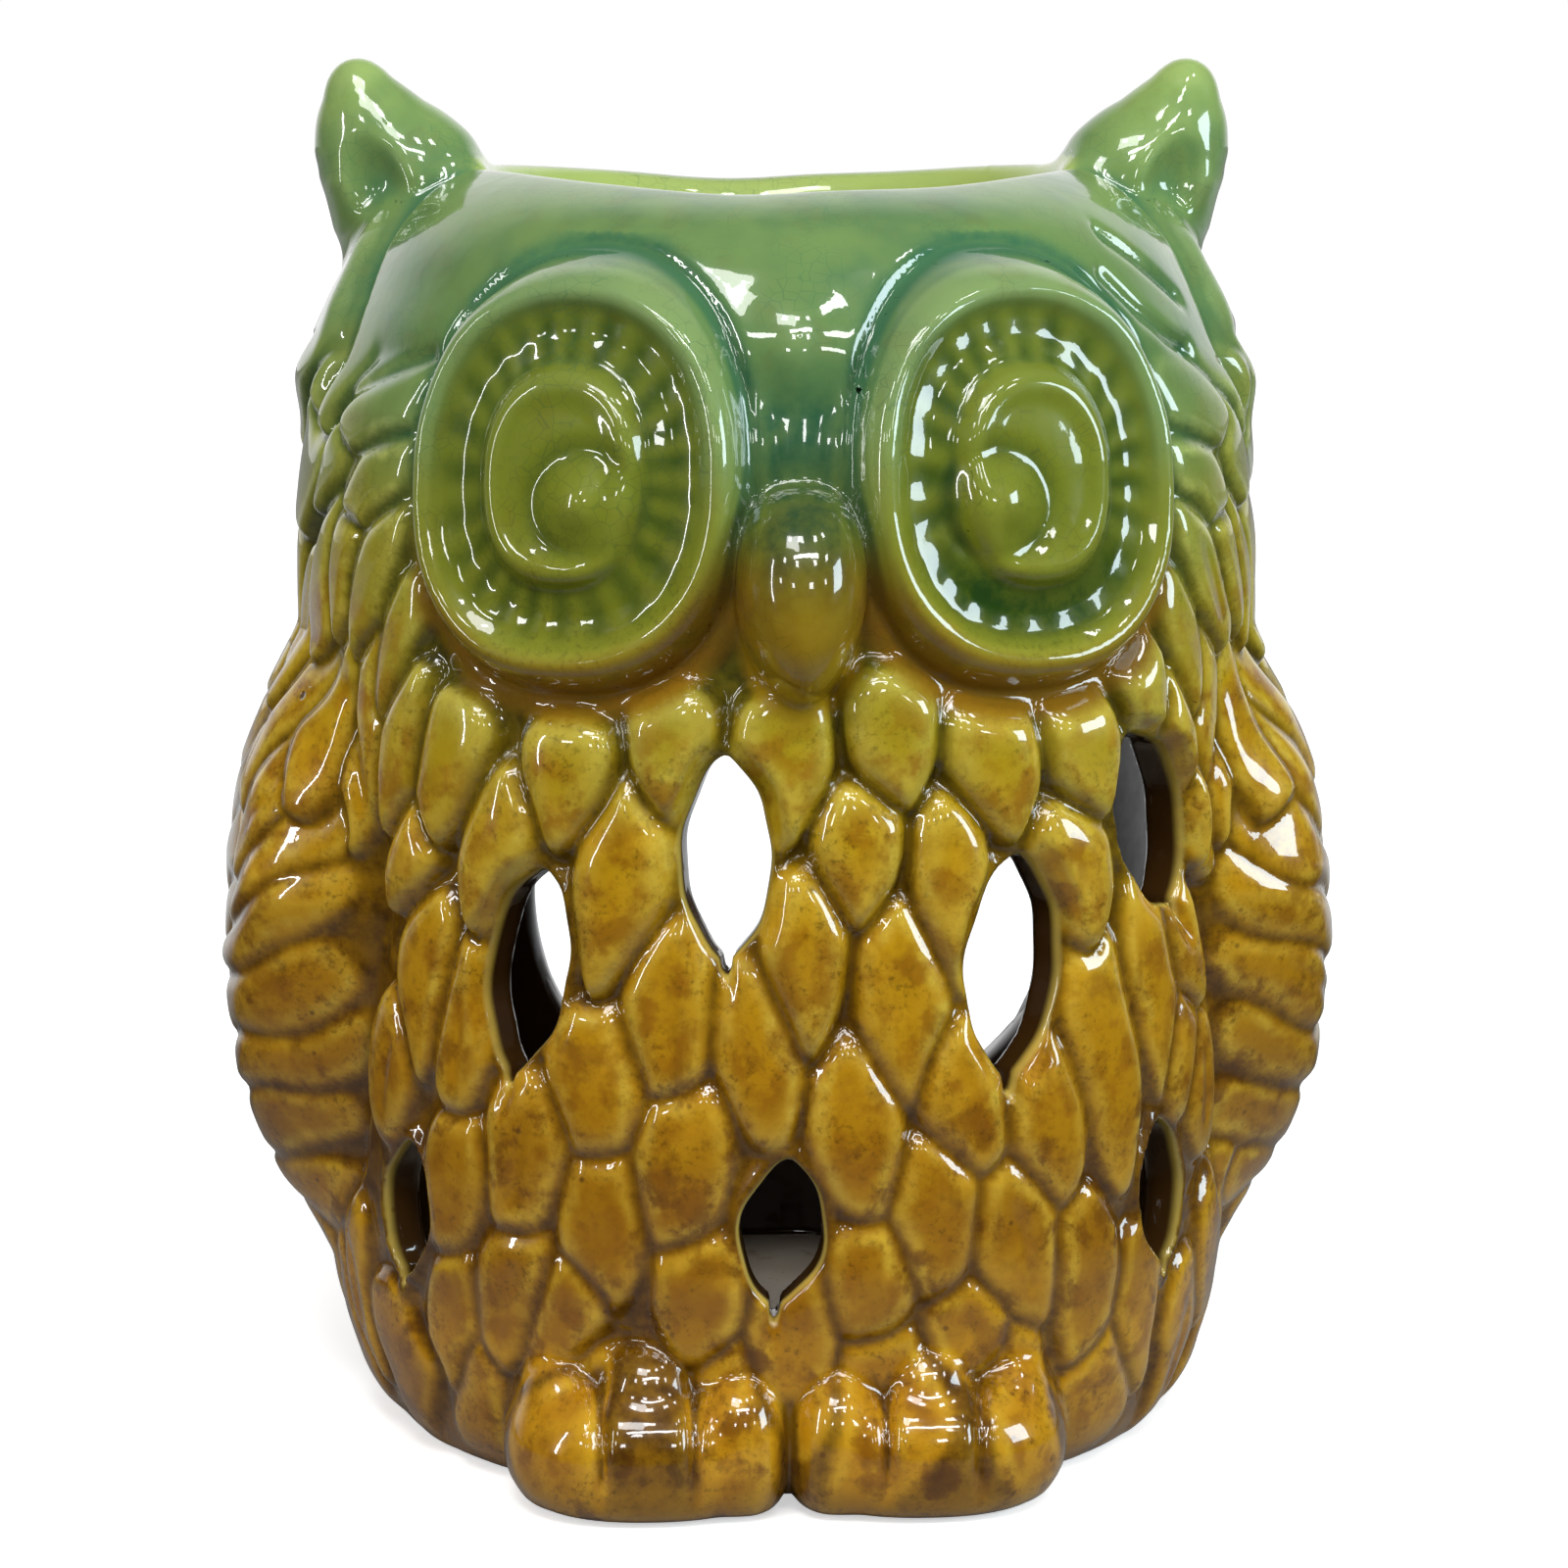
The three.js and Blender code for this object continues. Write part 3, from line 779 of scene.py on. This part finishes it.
def settle(points, on_skin):
    """Moves the skin's points onto the surface itself."""
    moving = points[on_skin]
    for _ in range(2):
        value = sample(FIELD, moving)
        slope = slope_of(FIELD, moving, STEP * 0.5)
        length = np.maximum((slope ** 2).sum(1), 0.15)
        shift = -slope * (value / length)[:, None]
        far = np.linalg.norm(shift, axis=1)
        shift *= np.minimum(1, 0.4 * STEP / np.maximum(far, 1e-6))[:, None]
        moving = moving + shift
    points[on_skin] = moving
    return points


POINTS, ON_SKIN, FACES, FIRST, SECOND, OUTER = surface_nets()
POINTS = settle(POINTS, ON_SKIN)
NORMALS = slope_of(FIELD, POINTS, 0.55)
NORMALS /= np.maximum(np.linalg.norm(NORMALS, axis=1), 1e-6)[:, None]
CLIPPED = np.clip(SKIN, -6, 6)
DISH_GAUGE = np.sqrt((POINTS[:, 0] / DISH[0]) ** 2 + (POINTS[:, 1] / DISH[1]) ** 2
                     + (np.minimum(POINTS[:, 2] - DISH_TOP, 0) / DISH[2]) ** 2)
IN_DISH = (DISH_GAUGE < 1.08) & (np.abs(POINTS[:, 2] - RIM + 9) < 11.5)
READINGS = {
    "fine": sample(blurred(CLIPPED, 0.9) - CLIPPED, POINTS),
    "broad": sample(blurred(CLIPPED, 2.4) - CLIPPED, POINTS),
    "depth": np.where(IN_DISH, 0, -sample(SKIN, POINTS)),
    "near_hole": np.minimum(sample(WINDOWS3, POINTS), np.abs(sample(BACK3, POINTS))),
    **{name: read_map(table, POINTS) for name, table in TINT_MAPS.items()},
    "dish": IN_DISH * smooth(1.08, 1.02, DISH_GAUGE),
}


def new_object(name, data):
    made = bpy.data.objects.new(name, data)
    bpy.context.scene.collection.objects.link(made)
    return made


def make_piece(number, node, material):
    forward = FACES[FIRST == number]
    backward = FACES[SECOND == number][:, ::-1]
    quads = np.concatenate([forward, backward])
    skin = np.concatenate([OUTER[FIRST == number], OUTER[SECOND == number]])
    used, corners = np.unique(quads, return_inverse=True)
    mesh = bpy.data.meshes.new(node + "_glazed")
    mesh.vertices.add(len(used))
    mesh.vertices.foreach_set("co", (POINTS[used] * MM).astype(np.float32).ravel())
    mesh.loops.add(len(quads) * 4)
    mesh.loops.foreach_set("vertex_index", corners.astype(np.int32).ravel())
    mesh.polygons.add(len(quads))
    mesh.polygons.foreach_set("loop_start", np.arange(0, len(quads) * 4, 4, dtype=np.int32))
    mesh.update(calc_edges=True)
    mesh.validate()
    mesh.polygons.foreach_set("use_smooth", np.ones(len(mesh.polygons), bool))
    buffer = np.zeros(len(mesh.polygons) * 3, np.float32)
    mesh.polygons.foreach_get("normal", buffer)
    flat = np.repeat(buffer.reshape(-1, 3), 4, axis=0)
    shared = NORMALS[used][corners.ravel()]
    if len(mesh.polygons) == len(quads):
        loop_normals = np.where(np.repeat(skin, 4)[:, None], shared, flat)
        mesh.normals_split_custom_set(loop_normals.astype(np.float64))
    for name, values in READINGS.items():
        attribute = mesh.attributes.new(name, "FLOAT", "POINT")
        attribute.data.foreach_set("value", np.ascontiguousarray(values[used], np.float32))
    mesh.materials.append(material)
    piece = new_object(node + "_glazed", mesh)
    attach(piece, "root")
    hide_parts(node)


# ---- Materials ----
def wire(tree, socket, value):
    if isinstance(value, bpy.types.NodeSocket):
        tree.links.new(value, socket)
    else:
        socket.default_value = value


def add(tree, kind, settings=(), **inputs):
    """A node with its settings and its inputs, each a value or another node's output."""
    node = tree.nodes.new("ShaderNode" + kind)
    for key, value in dict(settings).items():
        setattr(node, key, value)
    for key, value in inputs.items():
        wire(tree, node.inputs[int(key[1:]) if key[1:].isdigit() else key.replace("_", " ")], value)
    return node


def feed(tree, node, inputs):
    """Values, or other nodes' outputs, into the inputs of those names."""
    for name, value in inputs.items():
        wire(tree, node.inputs[name], value)


def maths(tree, operation, a, b=0.0, c=0.0):
    return add(tree, "Math", {"operation": operation}, i0=a, i1=b, i2=c).outputs[0]


def times(tree, a, b):
    return maths(tree, "MULTIPLY", a, b)


def times_plus(tree, a, b, c):
    return maths(tree, "MULTIPLY_ADD", a, b, c)


def span(tree, value, low, high, bottom=0.0, top=1.0, kind="SMOOTHSTEP"):
    """From bottom to top as the value goes from low to high."""
    node = add(tree, "MapRange", {"interpolation_type": kind}, Value=value)
    feed(tree, node, {"From Min": low, "From Max": high, "To Min": bottom, "To Max": top})
    return node.outputs[0]


def blend(tree, factor, a, b):
    return add(tree, "Mix", {"data_type": "RGBA"}, i0=factor, i6=a, i7=b).outputs[2]


def noise(tree, place, size, detail=3.0, rough=0.55, distortion=0.0):
    """Noise with lumps of that size in millimetres."""
    inputs = {"Scale": 1 / size, "Detail": detail, "Roughness": rough, "Distortion": distortion}
    return add(tree, "TexNoise", Vector=place, **inputs).outputs[0]


def colours(tree, value, stops):
    """Colour by height in millimetres."""
    low, high = stops[0][0], stops[-1][0]
    node = add(tree, "ValToRGB", i0=span(tree, value, low, high, kind="LINEAR"))
    elements = node.color_ramp.elements
    for index, (height, *colour) in enumerate(stops):
        place = (height - low) / (high - low)
        element = elements[index] if index < 2 else elements.new(place)
        element.position = place
        element.color = (*colour, 1)
    return node.outputs[0]


def object_place(tree):
    """Object coordinates in millimetres."""
    metres = add(tree, "TexCoord").outputs["Object"]
    return add(tree, "VectorMath", {"operation": "SCALE"}, i0=metres, Scale=1 / MM).outputs[0]


def bump_of(tree, height):
    """Bump by a height in millimetres."""
    return add(tree, "Bump", Height=height, Strength=1.0, Distance=MM).outputs[0]


def new_material(name):
    material = bpy.data.materials.new(name)
    material.use_nodes = True
    return material, material.node_tree, material.node_tree.nodes["Principled BSDF"]


def reading(tree, name):
    return add(tree, "Attribute", {"attribute_name": name}).outputs["Fac"]


# Height in millimetres and colour. In the body colours the darker band at about 21 mm, just above the
# toes, is painted shade under the belly.
BODY_AND_SHADE_COLOURS = (
    (0, 0.35, 0.15, 0.004), (14, 0.50, 0.235, 0.005), (21, 0.28, 0.122, 0.004),
    (31, 0.34, 0.155, 0.004), (45, 0.43, 0.205, 0.004), (60, 0.47, 0.25, 0.005),
    (70, 0.45, 0.28, 0.006), (80, 0.35, 0.27, 0.012), (88, 0.26, 0.245, 0.02),
    (95, 0.20, 0.235, 0.038), (103, 0.14, 0.21, 0.052), (112, 0.12, 0.215, 0.066),
    (122, 0.135, 0.23, 0.07), (134, 0.165, 0.27, 0.08), (142, 0.24, 0.36, 0.09),
)
# Glaze pooled in grooves and hollows. From 74 to 86 mm it is near black, which is painted shade between
# the drops of the bib.
POOL_AND_SHADE_COLOURS = (
    (0, 0.045, 0.015, 0.001), (50, 0.05, 0.018, 0.001), (74, 0.026, 0.015, 0.002),
    (86, 0.012, 0.018, 0.004), (96, 0.015, 0.055, 0.022), (110, 0.018, 0.095, 0.047),
    (125, 0.026, 0.13, 0.063), (142, 0.05, 0.17, 0.08),
)
THIN_COLOURS = (
    (0, 0.58, 0.33, 0.015), (45, 0.60, 0.41, 0.045), (62, 0.64, 0.47, 0.06), (78, 0.60, 0.50, 0.08),
    (92, 0.45, 0.45, 0.09), (105, 0.34, 0.44, 0.14), (120, 0.34, 0.45, 0.17), (142, 0.42, 0.54, 0.19),
)
# What shows in places only.
TEAL = (0.06, 0.15, 0.066, 1)
EYE_OLIVE = (0.16, 0.19, 0.013, 1)
RUST = (0.15, 0.052, 0.003, 1)
HEART_BROWN = (0.25, 0.095, 0.003, 1)
HONEY = (0.68, 0.36, 0.015, 1)
EYE_GREEN = (0.016, 0.05, 0.006, 1)
BEAK_AMBER = (0.34, 0.20, 0.006, 1)
EYELID_BROWN = (0.27, 0.13, 0.008, 1)
BOWL_GREEN = (0.44, 0.54, 0.15, 1)
CUT_EDGE = (0.60, 0.46, 0.10, 1)
SHADE = (0.05, 0.022, 0.005, 1)
SPECK = (0.07, 0.022, 0.003, 1)
PIT = (0.10, 0.06, 0.02, 1)


def glaze(name):
    """Thick glossy glaze: green above, amber below, dark where it pools, with painted shade in the
    grooves round the bib, and pale where it runs thin.
    """
    material, tree, shader = new_material(name)
    place = object_place(tree)
    height = add(tree, "SeparateXYZ", Vector=place).outputs["Z"]
    eye = reading(tree, "eye")
    level = times_plus(tree, maths(tree, "SUBTRACT", noise(tree, place, 15, 3), 0.5), 18.0, height)
    level = times_plus(tree, eye, -6.0, level)
    level = times_plus(tree, reading(tree, "flank"), -9.0, level)

    base = colours(tree, level, BODY_AND_SHADE_COLOURS)
    pooled_and_shaded = colours(tree, level, POOL_AND_SHADE_COLOURS)
    thin = colours(tree, level, THIN_COLOURS)

    streak = maths(tree, "SUBTRACT", noise(tree, place, 2.2, 4), 0.5)
    relief = times_plus(tree, reading(tree, "broad"), 0.35, reading(tree, "fine"))
    uneven = times_plus(tree, streak, 0.16, relief)
    # The share of pooled glaze in hollows and grooves. It also carries the painted shade between the bib
    # drops.
    deep = span(tree, times(tree, uneven, -1.0), 0.08, 0.9, 0.0, 0.75)
    grooves = times(tree, reading(tree, "groove"), span(tree, streak, -0.25, 0.2, 0.95, 0.6))
    pool_and_shade_share = maths(tree, "MAXIMUM", deep, grooves)
    ridge = span(tree, uneven, 0.12, 0.55, 0.0, 0.5)
    ridge = times(tree, ridge, span(tree, level, 80, 100, 1.0, 0.6))
    ridge = times(tree, ridge, span(tree, eye, 0.0, 1.0, 1.0, 0.25))
    shoulders = times(tree, reading(tree, "shoulder"), span(tree, streak, -0.2, 0.2, 0.3, 0.95))
    thin_share = maths(tree, "MAXIMUM", ridge, shoulders)

    teal = span(tree, noise(tree, place, 11, 3), 0.42, 0.68)
    teal = times(tree, teal, span(tree, level, 94, 112))
    mottled = noise(tree, place, 4.5, 5, 0.62, 0.15)
    patches = times(tree, span(tree, mottled, 0.5, 0.66), span(tree, level, 72, 34, 0.1, 0.85))
    heart = span(tree, noise(tree, place, 3.2, 4), 0.42, 0.62, 0.1, 0.8)
    heart = times(tree, reading(tree, "heart"), heart)
    heart = times(tree, heart, span(tree, level, 92, 72))
    grain = span(tree, noise(tree, place, 0.7, 4, 0.7), 0.48, 0.7, 0.0, 0.55)
    grain = times(tree, grain, span(tree, noise(tree, place, 6, 3), 0.4, 0.62, 0.25, 1.0))
    grain = times(tree, grain, span(tree, level, 110, 60, 0.15, 1.0))
    honey = span(tree, noise(tree, place, 7, 3), 0.5, 0.75, 0.0, 0.35)
    honey = times(tree, honey, span(tree, level, 90, 70))
    pooled_eye = times(tree, reading(tree, "pool"), span(tree, mottled, 0.35, 0.62, 0.65, 1.0))
    brown = times(tree, reading(tree, "brown"), span(tree, mottled, 0.3, 0.6, 0.7, 1.0))
    cut_edge = span(tree, reading(tree, "near_hole"), 0.45, 0.1, 0.0, 0.6)
    inside = span(tree, reading(tree, "depth"), 0.7, 1.8)

    crackle = add(tree, "TexVoronoi", {"feature": "DISTANCE_TO_EDGE"}, Vector=place, Scale=1 / 1.5)
    hairline = span(tree, crackle.outputs["Distance"], 0.04, 0.01, 0.0, 0.28)
    hairline = times(tree, hairline, span(tree, noise(tree, place, 9, 2), 0.42, 0.6))
    hairline = times(tree, hairline, span(tree, level, 70, 100, 0.15, 1.0))
    specks = add(tree, "TexVoronoi", Vector=place, Scale=1 / 2.1)
    chosen = add(tree, "SeparateColor", Color=specks.outputs["Color"]).outputs[0]
    speck = span(tree, specks.outputs["Distance"], 0.2, 0.07)
    speck = times(tree, speck, span(tree, chosen, 0.8, 0.86))
    speck = times(tree, speck, span(tree, level, 85, 30, 0.05, 0.6))
    pits = add(tree, "TexVoronoi", Vector=place, Scale=1 / 9.0)
    rare = add(tree, "SeparateColor", Color=pits.outputs["Color"]).outputs[1]
    pit = span(tree, pits.outputs["Distance"], 0.065, 0.03)
    pit = times(tree, pit, span(tree, rare, 0.86, 0.88))

    # Laid one over the other, each with its share.
    colour = base
    for share, paint in (
        (times(tree, teal, 0.55), TEAL), (times(tree, eye, 0.85), EYE_OLIVE), (thin_share, thin),
        (patches, RUST), (heart, HEART_BROWN), (grain, pooled_and_shaded), (honey, HONEY), (pool_and_shade_share, pooled_and_shaded),
        (pooled_eye, EYE_GREEN), (times(tree, reading(tree, "bill"), 0.85), BEAK_AMBER),
        (brown, EYELID_BROWN), (times(tree, reading(tree, "dish"), 0.75), BOWL_GREEN),
        (cut_edge, CUT_EDGE), (inside, SHADE), (hairline, pooled_and_shaded), (speck, SPECK), (pit, PIT),
    ):
        colour = blend(tree, share, colour, paint)

    wave = times(tree, noise(tree, place, 5.5, 2), 0.09)
    peel = times_plus(tree, noise(tree, place, 1.1, 2), 0.006, wave)
    bump = bump_of(tree, times_plus(tree, pit, -0.16, peel))
    feed(tree, shader, {
        "Base Color": colour, "Normal": bump, "IOR": 1.5, "Specular IOR Level": 0.12,
        "Roughness": span(tree, noise(tree, place, 3, 3), 0.3, 0.7, 0.16, 0.26),
        "Coat Weight": 1.0, "Coat Roughness": 0.025, "Coat IOR": 1.5, "Coat Normal": bump,
    })
    return material


def bare_clay(name):
    """The unglazed floor: matt fired clay with grog, wiped clean but for a few runs of glaze."""
    material, tree, shader = new_material(name)
    place = object_place(tree)
    cloud = span(tree, noise(tree, place, 12, 4), 0.3, 0.7)
    colour = blend(tree, cloud, (0.62, 0.52, 0.40, 1), (0.74, 0.66, 0.54, 1))
    grog = span(tree, noise(tree, place, 0.8, 3), 0.6, 0.75, 0.0, 0.5)
    colour = blend(tree, grog, colour, (0.45, 0.33, 0.22, 1))
    scorch = span(tree, noise(tree, place, 6, 5, 0.6, 0.8), 0.58, 0.72, 0.0, 0.6)
    colour = blend(tree, scorch, colour, (0.34, 0.2, 0.09, 1))
    grain = times_plus(tree, noise(tree, place, 0.5, 4), 0.05, times(tree, cloud, 0.1))
    feed(tree, shader, {
        "Base Color": colour, "Normal": bump_of(tree, grain), "Specular IOR Level": 0.3,
        "Roughness": span(tree, scorch, 0.0, 0.6, 0.85, 0.55),
    })
    return material


MATERIALS = {name: glaze(name) for name in ("green_glaze", "olive_glaze", "amber_glaze")}
MATERIALS["bare_clay"] = bare_clay("bare_clay")
for node, number in NUMBER.items():
    make_piece(number, node, MATERIALS[SLOTS[node]])


# ---- Floor, light and camera ----
LIT_POINT = Vector((0, 0, 0.08))
LAMP_DISTANCE = 0.85


def area_light(name, place, size, radiance, colour=(1, 1, 1)):
    lamp = bpy.data.lights.new(name, "AREA")
    lamp.shape = "RECTANGLE"
    lamp.size, lamp.size_y = size
    lamp.energy = radiance * math.pi * size[0] * size[1]
    lamp.color = colour
    made = new_object(name, lamp)
    made.location = place
    made.rotation_euler = (LIT_POINT - Vector(place)).to_track_quat("-Z", "Y").to_euler()


def build_floor():
    half = 4.0
    mesh = bpy.data.meshes.new("studio_floor")
    corners = [(-half, -half, 0), (half, -half, 0), (half, half, 0), (-half, half, 0)]
    mesh.from_pydata(corners, [], [(0, 1, 2, 3)])
    floor = new_object("studio_floor", mesh)
    material, tree, shader = new_material("white_paper")
    seen = add(tree, "LightPath").outputs["Is Camera Ray"]
    spot = add(tree, "TexCoord").outputs["Object"]
    away = add(tree, "VectorMath", {"operation": "LENGTH"}, i0=spot).outputs["Value"]
    behind = span(tree, add(tree, "SeparateXYZ", Vector=spot).outputs["Y"], 0.05, 0.35, 0.04, 0.9)
    paper = maths(tree, "MAXIMUM", behind, span(tree, away, 0.06, 0.16, 0.3, 0.04))
    glow = span(tree, away, 0.1, 0.7, 0.55, 1.05)
    feed(tree, shader, {
        "Base Color": blend(tree, seen, paper, (0.92, 0.92, 0.92, 1)), "Roughness": 0.9,
        "Specular IOR Level": 0.0, "Emission Color": (1, 1, 1, 1),
        "Emission Strength": times(tree, seen, glow),
    })
    mesh.materials.append(material)


def build_world():
    """White to the camera; to the glaze, a room that is bright behind and overhead and dim in front."""
    world = bpy.data.worlds.new("studio")
    bpy.context.scene.world = world
    world.use_nodes = True
    tree = world.node_tree
    direction = add(tree, "SeparateXYZ", Vector=add(tree, "TexCoord").outputs["Generated"])
    backward, upward = direction.outputs["Y"], direction.outputs["Z"]
    behind = span(tree, backward, 0.25, 0.8, 0.04, 1.0)
    room = maths(tree, "MAXIMUM", behind, span(tree, upward, 0.3, 0.95, 0.04, 0.15))
    seen = add(tree, "LightPath").outputs["Is Camera Ray"]
    strength = blend(tree, seen, room, (1, 1, 1, 1))
    feed(tree, tree.nodes["Background"], {"Color": (1, 1, 1, 1), "Strength": strength})


def build_lights():
    """Soft panels overhead and to the sides, and a grid of small lamps in front."""
    area_light("overhead", (-0.16, -0.5, 0.78), (0.28, 0.18), 12)
    area_light("window", (0.75, -0.36, 0.32), (0.3, 0.34), 15, (0.76, 0.91, 1.0))
    area_light("strip", (-0.72, -0.42, 0.3), (0.035, 0.5), 34)
    area_light("skylight", (0.06, -0.6, 0.64), (0.42, 0.05), 24)
    for column in range(4):
        for row in range(3):
            around, up = math.radians(-38 + 24 * column + 7 * row), math.radians(24 + 17 * row)
            across, ahead = math.sin(around) * math.cos(up), -math.cos(around) * math.cos(up)
            place = Vector((across, ahead, math.sin(up))) * LAMP_DISTANCE
            area_light(f"lamp_{column}_{row}", place, (0.06, 0.065), 20)


def build_camera():
    camera = bpy.data.cameras.new("camera")
    camera.sensor_width = 36
    camera.lens = 99
    made = new_object("camera", camera)
    yaw, pitch, away = math.radians(-3), math.radians(9.67), 0.454
    made.location = (0.0009 + math.sin(yaw) * away, -math.cos(yaw) * away, 0.143)
    ahead = (-math.sin(yaw) * math.cos(pitch), math.cos(yaw) * math.cos(pitch), -math.sin(pitch))
    made.rotation_euler = Vector(ahead).to_track_quat("-Z", "Y").to_euler()
    bpy.context.scene.camera = made


build_floor()
build_world()
build_lights()
build_camera()
bpy.context.scene.view_settings.view_transform = "Standard"
